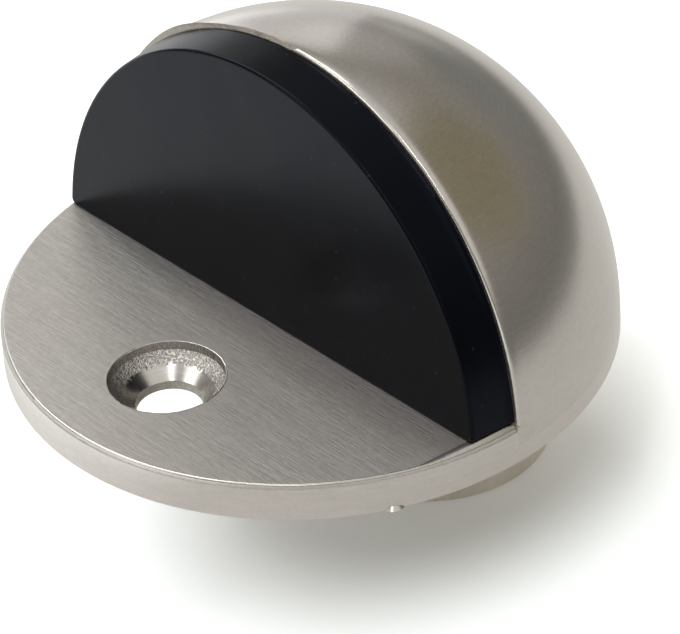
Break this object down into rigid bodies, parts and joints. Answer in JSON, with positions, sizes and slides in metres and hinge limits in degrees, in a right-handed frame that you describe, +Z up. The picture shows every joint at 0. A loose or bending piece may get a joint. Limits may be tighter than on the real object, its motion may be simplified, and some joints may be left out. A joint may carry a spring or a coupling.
{
  "type": "floor door stop",
  "caption": "Low half-dome floor door stop in satin stainless steel with a flat front plate, a countersunk screw hole, a locating spigot below and a black rubber half-moon buffer.",
  "frame": {"origin": "centre of the plate's flat underside, which lies on the floor", "axes": "+Z up along the screw hole and the dome's axis, -Y towards the door that meets the buffer, +X across the buffer"},
  "size_m": [0.045, 0.045, 0.0399],
  "materials": {
    "steel": "satin",
    "rubber": "matt"
  },
  "bodies": {
    "root": {"body": "steel", "rubber_buffer": "rubber"}
  },
  "joints": []
}
